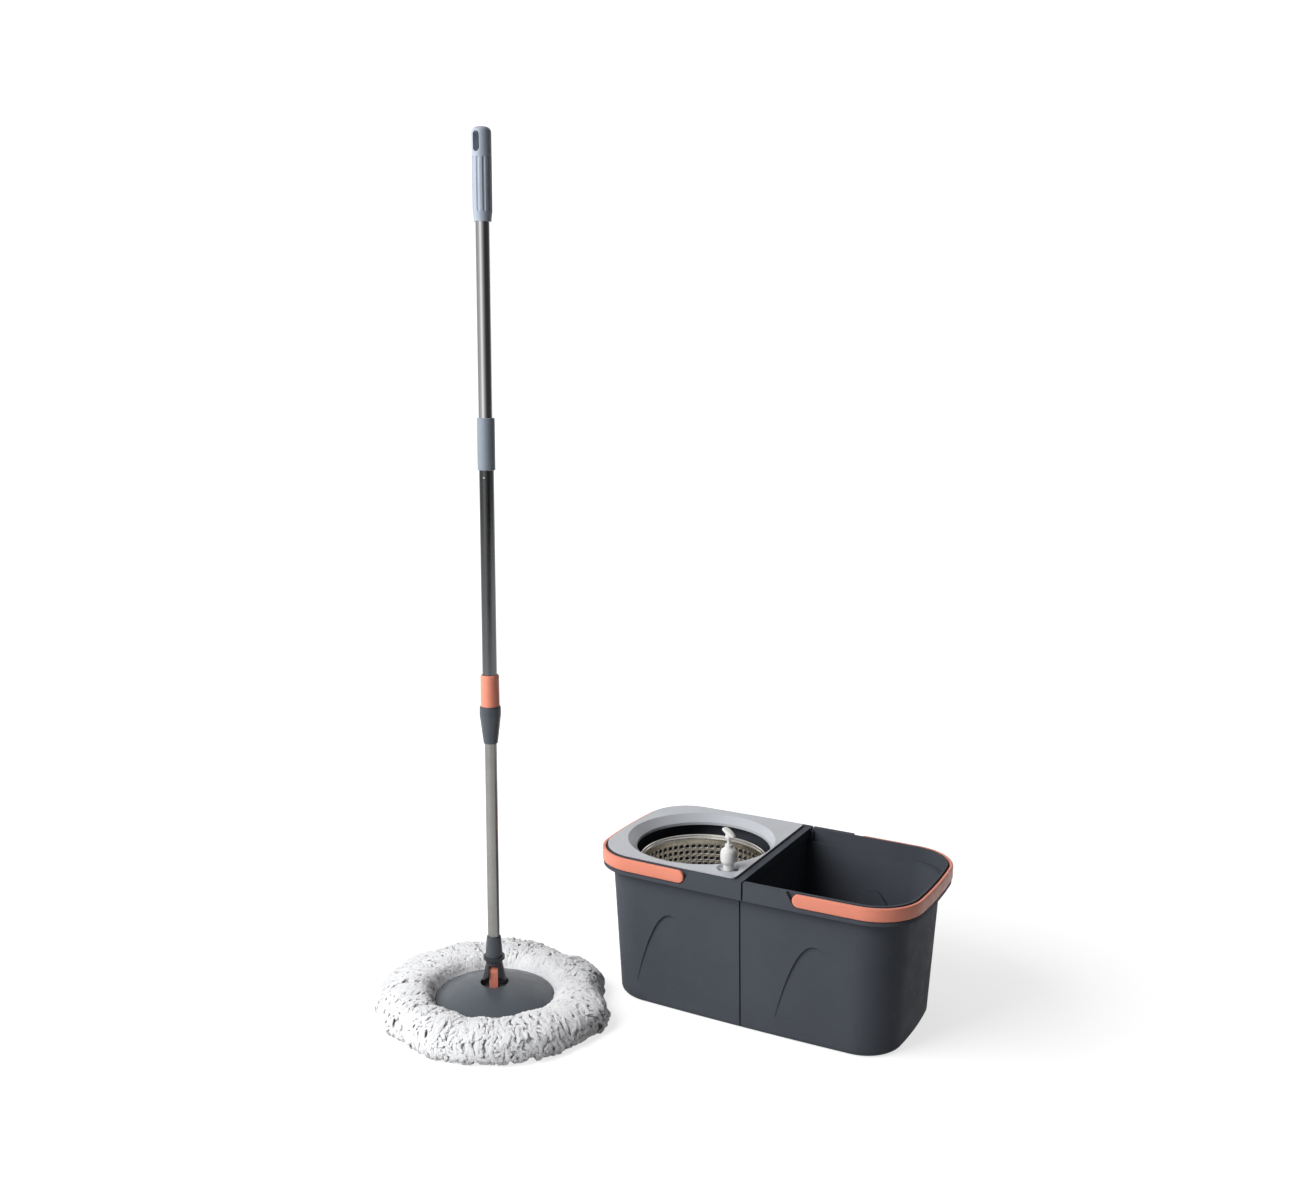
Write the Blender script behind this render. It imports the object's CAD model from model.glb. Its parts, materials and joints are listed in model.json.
# %% [markdown]
# Spin mop set: a pair of hooked-together buckets with a wringer, and a hand-press mop.
# The frame brings in every CAD part in its place. This scene gives the parts their
# finishes and builds the pieces that want finer work: the fringe of yarn, the
# perforated basket, the soap pump and the rounded handles.

# %% Load the frame
import json
from math import atan2, cos, exp, hypot, pi, radians, sin, sqrt
from random import Random

import bpy
import numpy as np
from mathutils import Matrix, Vector, noise


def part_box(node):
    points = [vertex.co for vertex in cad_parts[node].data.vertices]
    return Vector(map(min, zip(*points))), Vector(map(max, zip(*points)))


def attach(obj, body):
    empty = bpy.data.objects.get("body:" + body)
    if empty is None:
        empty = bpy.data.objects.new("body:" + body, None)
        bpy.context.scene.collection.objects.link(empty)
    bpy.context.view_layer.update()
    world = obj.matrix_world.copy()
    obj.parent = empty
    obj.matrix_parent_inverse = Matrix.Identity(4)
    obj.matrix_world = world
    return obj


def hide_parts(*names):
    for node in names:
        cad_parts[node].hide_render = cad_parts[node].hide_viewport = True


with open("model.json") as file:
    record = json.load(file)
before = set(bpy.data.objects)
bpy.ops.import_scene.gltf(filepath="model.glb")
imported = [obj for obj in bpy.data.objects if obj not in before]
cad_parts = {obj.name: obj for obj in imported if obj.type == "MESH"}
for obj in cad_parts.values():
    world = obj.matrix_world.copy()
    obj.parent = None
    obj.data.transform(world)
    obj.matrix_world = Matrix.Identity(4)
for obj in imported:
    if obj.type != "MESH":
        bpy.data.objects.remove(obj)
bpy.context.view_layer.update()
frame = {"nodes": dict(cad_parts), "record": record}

MM = 0.001
nodes = frame["nodes"]


def centre_of(name):
    """Middle of a CAD part's box on the floor plan."""
    low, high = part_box(name)
    return Vector(((low.x + high.x) / 2, (low.y + high.y) / 2, 0))


def put(name, data):
    """A new object of the scene."""
    thing = bpy.data.objects.new(name, data)
    bpy.context.scene.collection.objects.link(thing)
    return thing


# both handles mirror each other about the seam between the buckets
left_end, right_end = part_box("left_handle")[0].x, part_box("right_handle")[1].x
SEAM_X = (left_end + right_end) / 2

# %% [markdown]
# The camera stands well above the bucket, to the right of the pair's front, and looks a
# little down. It is set by the place, lens and angles that it was solved to.

# %% Camera
LENS, SENSOR = 37.8302, 36
VIEW_TURN = radians(28.4777)
# degrees by which the camera looks down and leans
DROP, LEAN = 10.2006, 0.3161
# its place, in metres from the seam between the buckets
VIEW_X, VIEW_Y, VIEW_Z = 0.69833, -1.65084, 0.88430
camera_data = bpy.data.cameras.new("camera")
camera_data.lens = LENS
camera_data.sensor_width = SENSOR
camera_data.sensor_fit = "HORIZONTAL"
camera_data.clip_end = 50
camera = put("camera", camera_data)
turn = Matrix.Rotation(VIEW_TURN, 4, "Z")
tilt = Matrix.Rotation(radians(90 - DROP), 4, "X")
roll = Matrix.Rotation(radians(LEAN), 4, "Z")
stand = Matrix.Translation((SEAM_X + VIEW_X, VIEW_Y, VIEW_Z))
camera.matrix_world = stand @ turn @ tilt @ roll
bpy.context.scene.camera = camera
print("camera at", [round(v, 3) for v in camera.location])

# %% [markdown]
# Plain studio light: one large soft panel from the front left, and a pale room whose
# reflections have a bright side, a grey base and one dark screen, so that the chromed
# tubes show their upright bands. The floor is a pale sheet that keeps the soft shadow.

# %% Studio light
bpy.context.scene.view_settings.view_transform = "Standard"
panel_data = bpy.data.lights.new("panel", "AREA")
panel_data.shape = "SQUARE"
panel_data.size = 1.7
panel_data.energy = 52
panel = put("panel", panel_data)
panel.location = (-1.20, -1.42, 1.40)
# the tubes mirror the room's bands alone, so that they stay crisp against the white
panel.visible_glossy = False
aim = Vector((-0.2, -0.1, 0.25)) - panel.location
panel.rotation_euler = aim.to_track_quat("-Z", "Y").to_euler()


def add(tree, kind, **settings):
    """Adds a shader node; plain settings are attributes, and keys that begin i_ are inputs."""
    node = tree.nodes.new(kind)
    for key, value in settings.items():
        if key.startswith("i_"):
            name = key[2:].replace("_", " ")
            node.inputs[int(name) if name.isdigit() else name].default_value = value
        else:
            setattr(node, key, value)
    return node


def ramp_of(tree, stops):
    """A colour ramp of grey levels or colours at the given places."""
    ramp = add(tree, "ShaderNodeValToRGB")
    line = ramp.color_ramp
    while len(line.elements) < len(stops):
        line.elements.new(0.5)
    for element, (where, value) in zip(line.elements, stops):
        element.position = where
        element.color = (value, value, value, 1) if isinstance(value, (int, float)) else (*value, 1)
    return ramp


world = bpy.data.worlds.new("room")
world.use_nodes = True
bpy.context.scene.world = world
tree = world.node_tree
tree.nodes.clear()
link = tree.links.new
aim_at = add(tree, "ShaderNodeTexCoord")
parts = add(tree, "ShaderNodeSeparateXYZ")
link(aim_at.outputs["Generated"], parts.inputs[0])
angle = add(tree, "ShaderNodeMath", operation="ARCTAN2")
link(parts.outputs["X"], angle.inputs[0])
minus_y = add(tree, "ShaderNodeMath", operation="MULTIPLY", i_1=-1)
link(parts.outputs["Y"], minus_y.inputs[0])
link(minus_y.outputs[0], angle.inputs[1])
# 0 is the room's left edge and 1 its right edge, as seen from the objects' front right
place = add(tree, "ShaderNodeMapRange", i_1=VIEW_TURN - pi, i_2=VIEW_TURN + pi)
link(angle.outputs[0], place.inputs[0])
wrap = add(tree, "ShaderNodeMath", operation="FRACT")
lift = add(tree, "ShaderNodeMath", operation="ADD", i_1=1.0)
place.clamp = False
link(place.outputs[0], lift.inputs[0])
link(lift.outputs[0], wrap.inputs[0])
BANDS = [
    (0.0, 0.42), (0.22, 0.36), (0.34, 0.50), (0.385, 0.98), (0.43, 0.90), (0.475, 0.40),
    (0.54, 0.14), (0.58, 0.04), (0.70, 0.03), (0.78, 0.08), (0.88, 0.30), (1.0, 0.42)
]
bands = ramp_of(tree, BANDS)
link(wrap.outputs[0], bands.inputs[0])
overhead = ramp_of(tree, [(0.0, 0.0), (0.42, 0.0), (0.85, 1.0)])
link(parts.outputs["Z"], overhead.inputs[0])
glossy = add(tree, "ShaderNodeMix", data_type="RGBA")
link(overhead.outputs[0], glossy.inputs["Factor"])
link(bands.outputs[0], glossy.inputs[6])
glossy.inputs[7].default_value = (0.62, 0.63, 0.65, 1)
AMBIENT = [
    (0.0, 0.44), (0.18, 0.58), (0.34, 0.46), (0.44, 0.16), (0.52, 0.02), (0.72, 0.02),
    (0.82, 0.10), (0.91, 0.46), (1.0, 0.44)
]
ambient = ramp_of(tree, AMBIENT)
link(wrap.outputs[0], ambient.inputs[0])
rays = add(tree, "ShaderNodeLightPath")
shiny = add(tree, "ShaderNodeMath", operation="MAXIMUM")
link(rays.outputs["Is Glossy Ray"], shiny.inputs[0])
link(rays.outputs["Is Transmission Ray"], shiny.inputs[1])
soft_or_shiny = add(tree, "ShaderNodeMix", data_type="RGBA")
link(shiny.outputs[0], soft_or_shiny.inputs["Factor"])
link(ambient.outputs[0], soft_or_shiny.inputs[6])
link(glossy.outputs[2], soft_or_shiny.inputs[7])
seen = add(tree, "ShaderNodeMix", data_type="RGBA")
link(rays.outputs["Is Camera Ray"], seen.inputs["Factor"])
link(soft_or_shiny.outputs[2], seen.inputs[6])
seen.inputs[7].default_value = (1, 1, 1, 1)
background = add(tree, "ShaderNodeBackground")
link(seen.outputs[2], background.inputs["Color"])
link(background.outputs[0], add(tree, "ShaderNodeOutputWorld").inputs[0])
print("panel", panel_data.energy, "W")

# %% Floor sheet
floor_mesh = bpy.data.meshes.new("floor")
rows = [(4.0 * t - 2.2, 0.0) for t in (0, 0.25, 0.5, 0.75, 1)]
for i in range(1, 13):
    swing = radians(90 * i / 12)
    rows.append((1.8 + 1.2 * sin(swing), 1.2 - 1.2 * cos(swing)))
rows.append((3.0, 4.5))
spread = Matrix.Rotation(VIEW_TURN, 3, "Z")
corners = [spread @ Vector((side * 4.5, y, z)) for y, z in rows for side in (-1, 1)]
faces = [(2 * i, 2 * i + 1, 2 * i + 3, 2 * i + 2) for i in range(len(rows) - 1)]
floor_mesh.from_pydata([Vector((v.x - 0.2, v.y, v.z)) for v in corners], [], faces)
floor = put("floor", floor_mesh)
for face in floor_mesh.polygons:
    face.use_smooth = True
paper = bpy.data.materials.new("paper")
paper.use_nodes = True
tree = paper.node_tree
tree.nodes.clear()
link = tree.links.new
where = add(tree, "ShaderNodeTexCoord").outputs["Object"]
away = add(tree, "ShaderNodeVectorMath", operation="LENGTH")
link(where, away.inputs[0])
# the sheet glows more with distance, so that it stays white where the panel's light is weak
fade = add(tree, "ShaderNodeMapRange", i_1=0.3, i_2=1.2, i_3=0.72, i_4=1.0)
link(away.outputs["Value"], fade.inputs[0])
matt = add(tree, "ShaderNodeBsdfDiffuse", i_Color=(0.52, 0.52, 0.52, 1))
glow = add(tree, "ShaderNodeEmission", i_Color=(1, 1, 1, 1))
link(fade.outputs[0], glow.inputs["Strength"])
both = add(tree, "ShaderNodeAddShader")
rays = add(tree, "ShaderNodeLightPath")
mirrored = add(tree, "ShaderNodeMath", operation="MAXIMUM")
link(rays.outputs["Is Glossy Ray"], mirrored.inputs[0])
link(rays.outputs["Is Transmission Ray"], mirrored.inputs[1])
watched = add(tree, "ShaderNodeMath", operation="MAXIMUM")
link(rays.outputs["Is Camera Ray"], watched.inputs[0])
link(mirrored.outputs[0], watched.inputs[1])
pick = add(tree, "ShaderNodeMixShader")
link(watched.outputs[0], pick.inputs[0])
link(matt.outputs[0], both.inputs[0])
link(glow.outputs[0], both.inputs[1])
link(matt.outputs[0], pick.inputs[1])
link(both.outputs[0], pick.inputs[2])
link(pick.outputs[0], add(tree, "ShaderNodeOutputMaterial").inputs[0])
floor_mesh.materials.append(paper)
print("floor", len(floor_mesh.polygons), "faces")

# %% [markdown]
# Moulded plastic has a fine grain in its surface, a little change of tone from place to
# place, and edges that are never quite sharp. One recipe makes all of them: noise moves
# the colour and the roughness, a fine noise makes the grain, and a bevel rounds the edges
# in the shading by about half a millimetre to a millimetre.


# %% Plastics
def finish_of(name):
    """An empty material with its output, ready for a recipe."""
    material = bpy.data.materials.new(name)
    material.use_nodes = True
    tree = material.node_tree
    tree.nodes.clear()
    output = add(tree, "ShaderNodeOutputMaterial")
    shader = add(tree, "ShaderNodeBsdfPrincipled")
    tree.links.new(shader.outputs[0], output.inputs[0])
    return material, tree, shader


def vary(tree, where, scale, low, high, detail=3.0, stretch=None):
    """Noise between two values or two colours, in metres of the object's own space."""
    if stretch:
        mapping = add(tree, "ShaderNodeMapping", i_Scale=stretch)
        tree.links.new(where, mapping.inputs["Vector"])
        where = mapping.outputs[0]
    clouds = add(tree, "ShaderNodeTexNoise", i_Scale=scale, i_Detail=detail)
    tree.links.new(where, clouds.inputs["Vector"])
    ramp = ramp_of(tree, [(0.32, low), (0.68, high)])
    tree.links.new(clouds.outputs["Fac"], ramp.inputs[0])
    return ramp.outputs[0]


def tones(colour, tone):
    """A colour a little darker and a little lighter, by a share of it."""
    return tuple(c * (1 - tone) for c in colour), tuple(min(1, c * (1 + tone)) for c in colour)


def own_space(tree):
    """The socket of an object's own coordinates."""
    return add(tree, "ShaderNodeTexCoord").outputs["Object"]


def rounded(tree, shader, radius, heights):
    """Joins a bevelled normal and a chain of (height, depth) bumps to a shader."""
    edge = add(tree, "ShaderNodeBevel", samples=4, i_Radius=radius)
    normal = edge.outputs[0]
    for height, depth in heights:
        bump = add(tree, "ShaderNodeBump", i_Strength=1.0, i_Distance=depth)
        tree.links.new(height, bump.inputs["Height"])
        tree.links.new(normal, bump.inputs["Normal"])
        normal = bump.outputs[0]
    tree.links.new(normal, shader.inputs["Normal"])


def plastic(name, colour, rough, grain=0.00003, edge=0.0006, tone=0.07, gloss=0.5):
    """Moulded plastic with grain, tone and a soft edge."""
    material, tree, shader = finish_of(name)
    where = own_space(tree)
    tree.links.new(vary(tree, where, 14, *tones(colour, tone)), shader.inputs["Base Color"])
    tree.links.new(vary(tree, where, 60, rough - 0.05, rough + 0.06), shader.inputs["Roughness"])
    shader.inputs["Specular IOR Level"].default_value = gloss
    fine = vary(tree, where, 1500, 0.0, 1.0, detail=2.0)
    rounded(tree, shader, edge, [(fine, grain)])
    return material


finishes = {
    "bucket": plastic("bucket_shell", (0.077, 0.085, 0.101), 0.60, grain=0.00004, tone=0.05, gloss=0.08),
    "coral": plastic("coral_plastic", (0.84, 0.280, 0.186), 0.42, edge=0.0010, tone=0.04),
    "tray": plastic("tray_plastic", (0.53, 0.548, 0.585), 0.34, edge=0.0009, tone=0.04),
    "grip_plastic": plastic("grip_plastic", (0.34, 0.38, 0.445), 0.45, grain=0.00006, tone=0.05),
    "dark_plastic": plastic("dark_plastic", (0.058, 0.068, 0.082), 0.42, tone=0.06),
    "white_plastic": plastic("white_plastic", (0.76, 0.76, 0.75), 0.32, edge=0.0004, tone=0.03),
    "nylon": plastic("nylon", (0.55, 0.54, 0.50), 0.45, tone=0.05),
    "seal": plastic("seal_rubber", (0.035, 0.035, 0.037), 0.65, tone=0.10),
    "disc": plastic("disc_plastic", (0.072, 0.084, 0.099), 0.36, grain=0.00004, edge=0.0012, tone=0.06),
    "sleeve": plastic("sleeve_plastic", (0.235, 0.272, 0.322), 0.42, tone=0.05),
    "yoke": plastic("yoke_plastic", (0.034, 0.034, 0.042), 0.42, edge=0.0009, tone=0.06),
}
# the hinge block's round foot lies in the shade of the disc's well, in dark plastic
FOOT_TOP = 0.035
block = plastic("block_plastic", (0.80, 0.270, 0.185), 0.42, edge=0.0006, tone=0.04)
tree = block.node_tree
shader = next(node for node in tree.nodes if node.type == "BSDF_PRINCIPLED")
tone = shader.inputs["Base Color"].links[0].from_socket
height = add(tree, "ShaderNodeSeparateXYZ")
tree.links.new(own_space(tree), height.inputs[0])
above = add(tree, "ShaderNodeMapRange", i_1=FOOT_TOP - 0.5 * MM, i_2=FOOT_TOP + 0.5 * MM)
tree.links.new(height.outputs["Z"], above.inputs[0])
mix = add(tree, "ShaderNodeMix", data_type="RGBA")
mix.inputs[6].default_value = (0.030, 0.032, 0.038, 1)
tree.links.new(above.outputs[0], mix.inputs["Factor"])
tree.links.new(tone, mix.inputs[7])
tree.links.new(mix.outputs[2], shader.inputs["Base Color"])
finishes["block"] = block
print("plastics", len(finishes))

# %% [markdown]
# The metals. The upper tube is bright chromed steel and the middle one darker steel. The
# lower one is dull satin steel, a little warm, with fine marks round it. The basket and its spindle are drawn
# stainless steel, brushed round their own axis.


# %% Metals
def metal(name, colour, rough, spread, marks, depth, tone=0.05):
    """Metal whose fine marks run as the stretch of its noise says."""
    material, tree, shader = finish_of(name)
    where = own_space(tree)
    tree.links.new(vary(tree, where, 30, *tones(colour, tone)), shader.inputs["Base Color"])
    shader.inputs["Metallic"].default_value = 1.0
    rub = vary(tree, where, 40, rough - spread, rough + spread, detail=5.0, stretch=marks)
    tree.links.new(rub, shader.inputs["Roughness"])
    scratch = vary(tree, where, 90, 0.0, 1.0, detail=6.0, stretch=marks)
    rounded(tree, shader, 0.0004, [(scratch, depth)])
    return material


finishes["chrome_tube"] = metal("chrome", (0.80, 0.80, 0.81), 0.10, 0.03, (9, 9, 0.6), 0.000004, 0.02)
finishes["satin_tube"] = metal("satin_steel", (0.235, 0.230, 0.220), 0.34, 0.05, (3, 3, 16), 0.00001)
finishes["dark_tube"] = metal("dark_steel", (0.118, 0.120, 0.124), 0.22, 0.04, (9, 9, 0.6), 0.000004, 0.03)
finishes["stainless"] = metal("stainless", (0.86, 0.825, 0.755), 0.20, 0.05, (1.5, 1.5, 22), 0.000012)
finishes["steel_pin"] = metal("steel", (0.58, 0.57, 0.56), 0.24, 0.04, (12, 12, 4), 0.000005)
bottle, tree, shader = finish_of("bottle_plastic")
where = own_space(tree)
milky = vary(tree, where, 30, (0.72, 0.74, 0.75), (0.80, 0.82, 0.83))
tree.links.new(milky, shader.inputs["Base Color"])
shader.inputs["Roughness"].default_value = 0.35
shader.inputs["Subsurface Weight"].default_value = 0.2
shader.inputs["Subsurface Scale"].default_value = 0.004
rounded(tree, shader, 0.0006, [(vary(tree, where, 300, 0.0, 1.0), 0.00003)])
finishes["bottle"] = bottle
print("finishes", sorted(finishes))

# %% Yarn
yarn, tree, shader = finish_of("yarn")
where = own_space(tree)
tree.links.new(vary(tree, where, 60, (0.86, 0.865, 0.885), (0.915, 0.92, 0.935)), shader.inputs["Base Color"])
tree.links.new(vary(tree, where, 400, 0.86, 1.0), shader.inputs["Roughness"])
shader.inputs["Specular IOR Level"].default_value = 0.1
shader.inputs["Sheen Weight"].default_value = 0.7
shader.inputs["Sheen Roughness"].default_value = 0.6
shader.inputs["Subsurface Weight"].default_value = 0.15
shader.inputs["Subsurface Radius"].default_value = (1.0, 1.0, 1.0)
shader.inputs["Subsurface Scale"].default_value = 0.003
nap = vary(tree, where, 900, 0.0, 1.0, detail=4.0)
bump = add(tree, "ShaderNodeBump", i_Strength=1.0, i_Distance=0.0002)
tree.links.new(nap, bump.inputs["Height"])
tree.links.new(bump.outputs[0], shader.inputs["Normal"])
finishes["fringe"] = yarn
print("yarn ready")

# %% [markdown]
# Every CAD part takes the finish of its material slot in the record. The disc, the joint
# sleeve, the yoke and the hinge block are moulded in tones of their own, and the middle
# tube is of darker steel than the upper one.

# %% Finishes on the CAD parts
OWN = {
    "mop_disc": "disc", "joint_sleeve": "sleeve", "yoke": "yoke", "hinge_block": "block",
    "middle_tube": "dark_tube"
}
slots = {part["node"]: part["material_slot"] for part in frame["record"]["subparts"]}
for name, thing in nodes.items():
    finish = finishes[OWN.get(name, slots[name])]
    thing.data.materials.clear()
    thing.data.materials.append(finish)
print("dressed", len(nodes), "parts")


def piece(name, points, faces, body, finish, soft=None):
    """A new mesh piece in the row frame that rides on a body; soft is a list of its points' normals."""
    mesh = bpy.data.meshes.new(name)
    mesh.from_pydata([tuple(p) for p in points], [], faces)
    mesh.update()
    mesh.polygons.foreach_set("use_smooth", [True] * len(mesh.polygons))
    if soft:
        mesh.normals_split_custom_set_from_vertices([tuple(n) for n in soft])
    mesh.materials.append(finish)
    thing = put(name, mesh)
    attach(thing, body)
    return thing


def lathe(profile, centre, sides=72):
    """Points and faces turned about an upright axis from (radius, height) pairs, in mm."""
    points = []
    for radius, height in profile:
        for i in range(sides):
            swing = 2 * pi * i / sides
            x, y = centre[0] + radius * MM * cos(swing), centre[1] + radius * MM * sin(swing)
            points.append((x, y, height * MM))
    faces = []
    for j in range(len(profile) - 1):
        for i in range(sides):
            k = (i + 1) % sides
            faces.append((j * sides + i, j * sides + k, (j + 1) * sides + k, (j + 1) * sides + i))
    return points, faces


def smooth_line(points, steps):
    """A Catmull-Rom line through points, with the given steps between each two."""
    line = [points[0], *points, points[-1]]
    out = []
    for a, b, c, d in zip(line, line[1:], line[2:], line[3:]):
        a, b, c, d = (np.array(p, float) for p in (a, b, c, d))
        for i in range(steps):
            t = i / steps
            square, cube = 2 * a - 5 * b + 4 * c - d, 3 * b - a - 3 * c + d
            out.append(0.5 * (2 * b + (c - a) * t + square * t**2 + cube * t**3))
    out.append(np.array(points[-1], float))
    return out


# %% [markdown]
# The fringe is a ring of soft microfibre yarn. Long loops come out from under the disc,
# rise over a crest, fall to the outer edge and turn back underneath along the floor. Short
# curls of the same yarn stand out between them in every direction, so that the ring reads
# as one knobbly, cotton-like mass. A padded ring inside keeps the floor from showing.

# %% Fringe
MOP = centre_of("mop_disc")
REACH = 156.0
CREST = 39.0
TO_CAMERA = radians(-54.7)
# how far a yarn's own roundness turns its shading from the ring's
FLUFF = 0.22
LINE_STEP = 3.4
# places where the ring spreads further or less far: degrees round from the front, width, mm
LOBES = [
    (18, 24, 4.0), (65, 12, 8.0), (88, 13, -10.0), (114, 12, 6.0), (134, 9, -14.0), (172, 26, 16.0),
    (-140, 32, 16.0), (-54, 12, -8.0)
]


def wander(angle, count, seed, size=1.0):
    """Smooth seeded noise round the ring, with about count waves."""
    spot = Vector((cos(angle) * count / (2 * pi), sin(angle) * count / (2 * pi), seed * 7.31))
    return size * noise.noise(spot)


def reach_at(angle):
    """How far the ring spreads at an angle, in mm."""
    reach = REACH + wander(angle, 40, 5, 4.0)
    for middle, width, size in LOBES:
        apart = (angle - TO_CAMERA - radians(middle) + pi) % (2 * pi) - pi
        reach += size * exp(-((apart / radians(width)) ** 2))
    return reach


def profile_at(angle, sink=0.0):
    """Radius and height along the ring's section at an angle, in mm."""
    reach = reach_at(angle) - sink
    lift = CREST - sink + wander(angle, 30, 2, 5.0)
    crest = 95 + wander(angle, 22, 3, 4.0)
    shape = [
        (81.5, 18.0), (85, 24 - sink / 2), (crest - 3, lift - 5), (crest + 10, lift - 0.6), (126, lift - 1.0),
        (reach - 11, lift - 8.5), (reach - 2.5, lift * 0.5), (reach, 10.0), (reach - 5, 4.6),
        (reach - 22, 3.6), (112, 3.8), (86, 4.4)
    ]
    return smooth_line(shape, 5)


def tube(points, faces, soft, path, ups, fat, sides, sway):
    """Adds a knobbly yarn along a path; its normals lean to the ring's own, as on fluffy yarn."""
    start = len(points)
    for j, (spot, up) in enumerate(zip(path, ups)):
        way = (path[min(j + 1, len(path) - 1)] - path[max(j - 1, 0)]).normalized()
        side = way.cross(up).normalized()
        up = side.cross(way)
        closing = 0.45 if j in (0, len(path) - 1) else 1.0
        for k in range(sides):
            swing = 2 * pi * (k + 0.5 * (j % 2)) / sides
            cell = spot / 4.6 + Vector((sway, 1.4 * cos(swing), 1.4 * sin(swing)))
            knob = closing * fat * (1 + 0.5 * noise.noise(cell))
            out = side * cos(swing) + up * sin(swing)
            place = spot + out * knob
            soft.append((out * FLUFF + ups[j] * (1 - FLUFF)).normalized())
            place.z = max(place.z, 0.3)
            points.append(MOP + place * MM)
    for j in range(len(path) - 1):
        for k in range(sides):
            a, b = start + j * sides + k, start + j * sides + (k + 1) % sides
            faces.append((a, a + sides, b + sides, b))
    faces.append([start + k for k in range(sides)])
    faces.append([start + (len(path) - 1) * sides + k for k in range(sides)][::-1])


def on_ring(angle, r, z):
    """A point of the ring, in mm about the mop's axis."""
    return Vector((r * cos(angle), r * sin(angle), z))


def normals(line, angle):
    """Outward directions along a section."""
    out = []
    for j in range(len(line)):
        ahead, behind = line[min(j + 1, len(line) - 1)], line[max(j - 1, 0)]
        out.append(on_ring(angle, behind[1] - ahead[1], ahead[0] - behind[0]).normalized())
    return out


def loops(name, count, sink, fat, sides, seed):
    """A ring of long yarn loops as one mesh."""
    pick = Random(seed)
    points, faces, soft = [], [], []
    for i in range(count):
        angle = 2 * pi * (i + pick.uniform(-0.3, 0.3)) / count
        line = profile_at(angle, sink + pick.uniform(-1.5, 1.5))
        walk, gap = [line[0]], 0.0
        for a, b in zip(line, line[1:]):
            gap += hypot(b[0] - a[0], b[1] - a[1])
            under = b[1] < 7 and b[0] < REACH - 14
            if gap > (9.0 if under else 2.8):
                walk.append(b)
                gap = 0.0
        sway = pick.uniform(0, 100)
        lean = pick.uniform(-0.09, 0.09)
        path = []
        for r, z in walk:
            far = min(1.0, max(0.0, (r - 82) / 60))
            turned = angle + lean * far + 0.075 * far * noise.noise(Vector((sway, r / 14, z / 14)))
            path.append(on_ring(turned, r, z))
        tube(points, faces, soft, path, normals(walk, angle), fat, sides, sway)
    made = piece(name, points, faces, "refill", finishes["fringe"], soft)
    print(name, count, "loops", len(points), "points")
    return made


def curls(name, count, fat, sides, seed):
    """Short curls of yarn all over the ring."""
    pick = Random(seed)
    points, faces, soft = [], [], []
    for i in range(count):
        angle = 2 * pi * (i + pick.random()) / count * 7
        line = profile_at(angle)
        first = pick.uniform(0.03, 0.60) * len(line)
        long = pick.uniform(8, 17)
        lean = pick.uniform(-1.0, 1.0)
        path, ups = [], []
        for step in range(6):
            t = step / 5
            along = first + long * (1 - 0.5 * abs(lean)) * t / LINE_STEP
            j = min(int(along), len(line) - 2)
            r, z = line[j] + (line[j + 1] - line[j]) * (along - j)
            turned = angle + lean * long * (t - 0.5) / r
            ahead = line[min(j + 1, len(line) - 1)] - line[max(j - 1, 0)]
            up = on_ring(turned, -ahead[1], ahead[0]).normalized()
            path.append(on_ring(turned, r, z) + up * (1.5 * sin(pi * t) - 1.0))
            ups.append(up)
        tube(points, faces, soft, path, ups, fat * pick.uniform(0.85, 1.15), sides, pick.uniform(0, 100))
    made = piece(name, points, faces, "refill", finishes["fringe"], soft)
    print(name, count, "curls", len(points), "points")
    return made


def padding(name, sink, count):
    """The soft body under the yarn: a closed ring that follows the same sections."""
    points, faces = [], []
    for i in range(count):
        angle = 2 * pi * i / count
        line = profile_at(angle, sink)
        for (r, z), up in zip(line, normals(line, angle)):
            spot = on_ring(angle, r, z)
            spot += up * (1.6 * noise.noise(spot / 5.5))
            spot.z = max(spot.z, 0.6)
            points.append(MOP + spot * MM)
    ring = len(line)
    for i in range(count):
        here, there = i * ring, (i + 1) % count * ring
        for j in range(ring):
            k = (j + 1) % ring
            faces.append((here + j, here + k, there + k, there + j))
    return piece(name, points, faces, "refill", finishes["fringe"])


upper = loops("fringe_yarn_upper", 220, 2.3, 3.1, 6, 11)
curls("fringe_yarn_curls", 1500, 1.9, 5, 13)
padding("fringe_pad", 4.2, 300)
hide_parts("fringe")

# %% [markdown]
# The basket is drawn from thin stainless sheet: a rolled rim, a plain band, five rows of
# small square holes with rounded corners, and a rounded turn into the floor. Each hole is
# cut in its own cell of the wall, and the sheet then gets its thickness.

# %% Basket
BASKET = centre_of("spin_basket")
low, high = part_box("spin_basket")
RIM_TOP, BASE = high.z / MM, low.z / MM
COLUMNS, ROWS, WALL_R = 60, 5, 87.2
PITCH = 2 * pi * WALL_R / COLUMNS
FIRST = RIM_TOP - 17.5
SHEET = 0.8
ROLL_R, ROLL = 88.6, 1.5
basket_points, basket_faces, known = [], [], {}


def wall_point(around, height):
    """A shared point of the wall, from the distance round it and the height in mm."""
    key = (round(around % (2 * pi * WALL_R), 3), round(height, 3))
    if key not in known:
        known[key] = len(basket_points)
        swing = around / WALL_R
        basket_points.append((
            BASKET.x + WALL_R * MM * cos(swing), BASKET.y + WALL_R * MM * sin(swing), height * MM
        ))
    return known[key]


HALF, HOLE, CUT = PITCH / 2, 2.5, 0.8
RING = [(1, -1), (1, 0), (1, 1), (0, 1), (-1, 1), (-1, 0), (-1, -1), (0, -1)]


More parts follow.
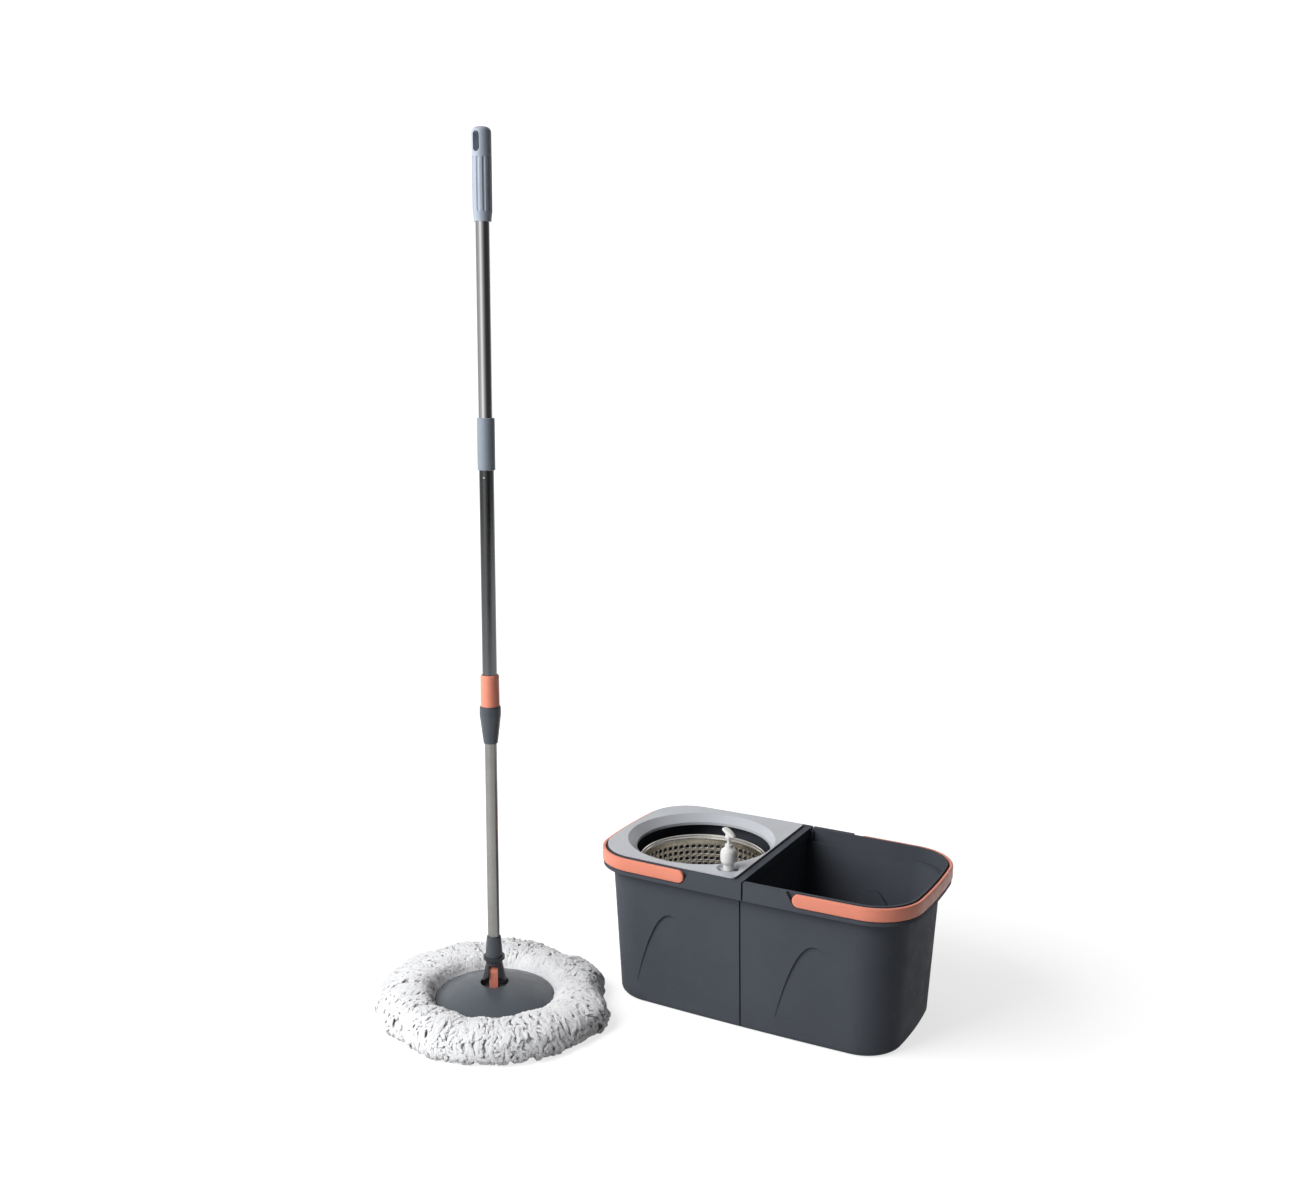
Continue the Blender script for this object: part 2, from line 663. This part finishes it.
def cell(around, height):
    """One cell of the wall: eight faces between its outline and a hole with cut corners."""
    outer = [wall_point(around + HALF * u, height + HALF * v) for u, v in RING]
    hole = []
    for u, v in RING:
        if u and v:
            spots = [(u * HOLE, v * (HOLE - CUT)), (u * (HOLE - CUT), v * HOLE)]
            hole.append(spots if u * v > 0 else spots[::-1])
    rim = [[wall_point(around + u, height + v) for u, v in spots] for spots in hole]
    for q in range(4):
        before, corner, after = outer[2 * q - 1], outer[2 * q], outer[2 * q + 1]
        first, second = rim[q]
        basket_faces.append((before, corner, second, first))
        basket_faces.append((corner, after, second))
        basket_faces.append((after, rim[(q + 1) % 4][0], second))


def band(around, heights):
    """Plain wall beside one column, between the given heights."""
    for start in (around - HALF, around):
        for below, above in zip(heights, heights[1:]):
            corners = [(start, below), (start + HALF, below), (start + HALF, above), (start, above)]
            basket_faces.append([wall_point(*corner) for corner in corners])


TOP_EDGE = FIRST + HALF
LOW_EDGE = FIRST - (ROWS - 0.5) * PITCH
TURN = 9.0
for column in range(COLUMNS):
    for row in range(ROWS):
        cell(column * PITCH, FIRST - row * PITCH)
    band(column * PITCH, [TOP_EDGE, (TOP_EDGE + RIM_TOP - 3) / 2, RIM_TOP - 3])
    band(column * PITCH, [BASE + TURN, (BASE + TURN + LOW_EDGE) / 2, LOW_EDGE])
wall = piece("basket_wall", basket_points, basket_faces, "basket", finishes["stainless"])
sheet = wall.modifiers.new("sheet", "SOLIDIFY")
sheet.thickness = SHEET * MM
sheet.offset = -1
profile = [(WALL_R, BASE + TURN)]
for step in range(1, 9):
    swing = radians(90 * step / 8)
    profile.append((WALL_R - TURN + TURN * cos(swing), BASE + TURN - TURN * sin(swing)))
for step in range(9):
    swing = radians(90 - 90 * step / 8)
    bend = TURN - SHEET
    profile.append((WALL_R - TURN + bend * cos(swing), BASE + TURN - bend * sin(swing)))
profile[9:9] = [(60, BASE), (20, BASE), (20, BASE + SHEET), (60, BASE + SHEET)]
floor_points, floor_faces = lathe(profile, BASKET, 120)
piece("basket_floor", floor_points, floor_faces, "basket", finishes["stainless"])
profile = [(WALL_R - SHEET, RIM_TOP - 3.4), (WALL_R - SHEET, RIM_TOP - 2.2)]
for step in range(17):
    swing = radians(160 - 320 * step / 16)
    profile.append((ROLL_R + ROLL * cos(swing), RIM_TOP - ROLL + ROLL * sin(swing)))
profile += [(WALL_R, RIM_TOP - 2.8), (WALL_R, RIM_TOP - 3.4)]
rim_points, rim_faces = lathe(profile, BASKET, 144)
piece("basket_rim", rim_points, rim_faces, "basket", finishes["stainless"])
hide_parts("spin_basket")
print("basket", len(basket_points), "points", len(basket_faces), "faces")

# %% [markdown]
# The soap pump is a smooth turned collar with a narrow foot, a soft bulb and a long
# neck, under a thumb blade that slopes down from its broad end to the spout.

# %% Pump
PUMP = centre_of("pump_collar")
NECK_TOP = 36.0
SPOUT_TURN = radians(-20)
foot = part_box("pump_collar")[0].z / MM
outline = [
    (5.5, 0.0), (6.9, 0.0), (7.0, 4.0), (7.4, 8.4), (9.4, 10.8), (10.7, 13.8), (11.1, 19.0), (11.0, 24.0),
    (9.8, 27.8), (7.2, 30.2), (5.4, 31.8), (5.0, 35.4), (4.6, NECK_TOP), (2.4, NECK_TOP)
]
profile = [(r, foot + min(NECK_TOP, max(0.0, z))) for r, z in smooth_line(outline, 4)]
collar_points, collar_faces = lathe(profile, PUMP, 64)
white = finishes["white_plastic"]
collar = piece("pump_collar_smooth", collar_points, collar_faces, "pump_collar", white)
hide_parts("pump_collar")
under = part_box("pump_head")[0].z / MM


def blade(name, stations, along, centre, finish, body, sides=20):
    """A smooth bar of rounded section: (reach, height, half width, half thickness) stations."""
    line = smooth_line(stations, 5)
    points, faces = [], []
    direction = Vector((cos(along), sin(along), 0))
    across = Vector((-sin(along), cos(along), 0))
    for i, (reach, height, wide, thick) in enumerate(line):
        ahead, behind = line[min(i + 1, len(line) - 1)], line[max(i - 1, 0)]
        way = Vector((ahead[0] - behind[0], ahead[1] - behind[1])).normalized()
        for k in range(sides):
            swing = 2 * pi * k / sides
            c, s = cos(swing), sin(swing)
            side = wide * abs(c) ** 0.8 * (1 if c > 0 else -1)
            up = thick * abs(s) ** 0.8 * (1 if s > 0 else -1)
            raised = Vector((0, 0, height + way.x * up))
            spot = direction * (reach - way.y * up) + across * side + raised
            points.append(centre + spot * MM)
    for j in range(len(line) - 1):
        for k in range(sides):
            a, b = j * sides + k, j * sides + (k + 1) % sides
            faces.append((a, b, b + sides, a + sides))
    faces.append(list(range(sides))[::-1])
    faces.append([(len(line) - 1) * sides + k for k in range(sides)])
    return piece(name, points, faces, body, finish)


stations = [
    (-9.8, under + 11.6, 1.0, 0.6), (-9.2, under + 11.5, 3.5, 1.6), (-7.0, under + 11.0, 5.0, 2.1),
    (-3, under + 9.6, 5.4, 2.6), (2, under + 7.6, 5.0, 2.9), (6, under + 5.7, 4.0, 2.6),
    (8.8, under + 4.2, 2.9, 2.0), (10.0, under + 3.6, 1.7, 1.2), (10.4, under + 3.4, 0.7, 0.5)
]
head = blade("pump_blade", stations, SPOUT_TURN, PUMP, white, "pump_head")
hub_line = [(2.3, 0.0), (4.4, 0.0), (4.8, 0.6), (4.9, 2.5), (4.7, 5.0), (4.2, 8.0), (3.0, 9.0)]
hub_points, hub_faces = lathe([(r, under + z) for r, z in hub_line], PUMP, 40)
piece("pump_hub", hub_points, hub_faces, "pump_head", white)
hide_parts("pump_head")
print("pump foot", round(foot, 2), "head from", round(under, 2))

# %% [markdown]
# The handles are flat bails with well rounded edges and round ends. Their line is the
# bucket's plan: shallow arcs on the sides and the end, joined by wide corners.

# %% Handles
LENGTH, WIDTH = (right_end - left_end) / 2 / MM, 126.0
END_BOW, SIDE_BOW, CORNER = 8.0, 4.0, 67.0
low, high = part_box("right_handle")
HALF_HEIGHT = (high.z - low.z) / 2 / MM
PIVOT_X = (low.x - SEAM_X) / MM + HALF_HEIGHT


def plan_line(inset, start_x):
    """Half of the plan outline, from the front arm round the end to the back arm, in mm."""
    half_l, half_w, corner = LENGTH - inset, WIDTH - inset, CORNER - inset
    foot_x, foot_y = half_l - END_BOW, half_w - SIDE_BOW
    side_r = (foot_x**2 + SIDE_BOW**2) / (2 * SIDE_BOW)
    end_r = (foot_y**2 + END_BOW**2) / (2 * END_BOW)
    side_c, end_c = np.array((0.0, side_r - half_w)), np.array((half_l - end_r, 0.0))
    apart = np.linalg.norm(end_c - side_c)
    r1, r2 = side_r - corner, end_r - corner
    along = (r1**2 - r2**2 + apart**2) / (2 * apart)
    rise = sqrt(r1**2 - along**2)
    unit = (end_c - side_c) / apart
    normal = np.array((unit[1], -unit[0]))
    options = [side_c + unit * along + normal * rise * flip for flip in (1, -1)]
    corner_c = max(options, key=lambda c: c[0] - c[1])
    way = (corner_c - side_c) / np.linalg.norm(corner_c - side_c)
    touch = side_c + way * side_r
    end_way = (corner_c - end_c) / np.linalg.norm(corner_c - end_c)
    front = []
    for i in range(61):
        x = start_x + (touch[0] - start_x) * i / 60
        front.append((x, side_c[1] - sqrt(side_r**2 - x**2)))
    a0, a1 = atan2(way[1], way[0]), atan2(end_way[1], end_way[0])
    for i in range(1, 41):
        swing = a0 + (a1 - a0) * i / 40
        front.append((corner_c[0] + corner * cos(swing), corner_c[1] + corner * sin(swing)))
    for i in range(1, 13):
        swing = a1 * (1 - i / 12)
        front.append((end_c[0] + end_r * cos(swing), end_c[1] + end_r * sin(swing)))
    return front + [(x, -y) for x, y in front[-2::-1]]


def bail(name, side, body, node):
    """A rounded bail that follows the CAD handle."""
    low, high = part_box(node)
    middle_z, half_h, half_t, soft = (low.z + high.z) / 2 / MM, HALF_HEIGHT, 2.5, 1.7
    line = plan_line(half_t, PIVOT_X)
    stations = [(p, half_h, half_t) for p in line]
    for end, spot, ahead in ((0, line[0], line[1]), (1, line[-1], line[-2])):
        back = np.array(spot) - np.array(ahead)
        back /= np.linalg.norm(back)
        cap = []
        for i in range(1, 15):
            swing = radians(90 * i / 14)
            out, tall = half_h * sin(swing), half_h * cos(swing)
            gap = half_h - out
            thin = half_t if gap > soft else half_t - soft + sqrt(max(0.0, soft**2 - (soft - gap) ** 2))
            cap.append((tuple(np.array(spot) + back * out), max(tall, 0.4), thin))
        stations = cap[::-1] + stations if end == 0 else stations + cap
    points, faces = [], []
    for i, (spot, tall, thin) in enumerate(stations):
        ahead = np.array(stations[min(i + 1, len(stations) - 1)][0])
        behind = np.array(stations[max(i - 1, 0)][0])
        way = (ahead - behind) / np.linalg.norm(ahead - behind)
        out = np.array((way[1], -way[0]))
        r = min(soft, thin, tall)
        ring = []
        for cu, cv, first in ((1, 1, 0), (-1, 1, 90), (-1, -1, 180), (1, -1, 270)):
            for k in range(5):
                swing = radians(first + 90 * k / 4)
                ring.append((cu * (thin - r) + r * cos(swing), cv * (tall - r) + r * sin(swing)))
        ring_size = len(ring)
        for u, v in ring:
            x, y = np.array(spot) + out * u
            points.append((SEAM_X + side * x * MM, y * MM, (middle_z + v) * MM))
    for j in range(len(stations) - 1):
        for k in range(ring_size):
            a, b = j * ring_size + k, j * ring_size + (k + 1) % ring_size
            faces.append((a, b, b + ring_size, a + ring_size))
    faces.append(list(range(ring_size))[::-1])
    faces.append([(len(stations) - 1) * ring_size + k for k in range(ring_size)])
    if side > 0:
        faces = [face[::-1] for face in faces]
    made = piece(name, points, faces, body, finishes["coral"])
    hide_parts(node)
    print(name, len(points), "points")
    return made


bail("right_handle_soft", 1, "right_handle", "right_handle")
bail("left_handle_soft", -1, "left_handle", "left_handle")
